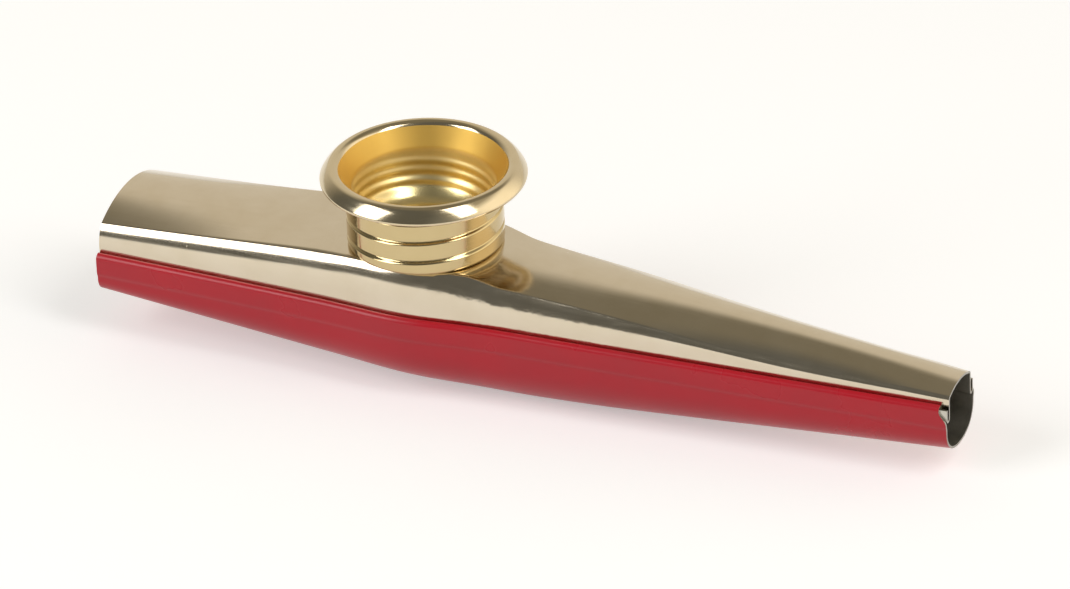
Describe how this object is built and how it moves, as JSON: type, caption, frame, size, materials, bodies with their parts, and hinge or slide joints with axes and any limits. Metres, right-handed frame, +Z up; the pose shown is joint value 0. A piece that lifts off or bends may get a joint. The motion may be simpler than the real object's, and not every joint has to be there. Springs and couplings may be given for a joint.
{
  "type": "kazoo",
  "caption": "Pressed metal kazoo: a domed upper shell locked into a red lower shell, with a threaded collar, a screw-in flared cap and a buzzing film on its ring.",
  "frame": {"origin": "centre of the part's box at the bottom of its belly, where it rests on a table", "axes": "+X along the body towards the narrow outlet, +Z up along the turret's axis, +Y to the left of the outlet direction"},
  "size_m": [0.12, 0.0274, 0.0301],
  "materials": {
    "shell_plate": "gold-tone plated steel sheet, bright",
    "turret_plate": "gold-tone plated steel sheet, bright, spun",
    "red_enamel": "red enamel, satin",
    "film": "thin translucent film",
    "card": "grey-brown card"
  },
  "bodies": {
    "body": {"upper_shell": "shell_plate", "lower_shell": "red_enamel", "collar": "turret_plate"},
    "disc": {"membrane": "film", "membrane_ring": "card"},
    "cap": {"turret_cap": "turret_plate"}
  },
  "joints": [
    {"name": "cap_turn", "type": "hinge", "parent": "body", "child": "disc", "pos_m": [-0.0157, 0, 0.01975], "axis": [0, 0, 1], "range_deg": [0, 900]},
    {"name": "cap_rise", "type": "slide", "parent": "disc", "child": "cap", "axis": [0, 0, 1], "range_m": [0, 0.00715]}
  ],
  "couplings": [
    {"joint": "cap_turn", "follows": "cap_rise", "rad_per_m": 2196.9}
  ]
}
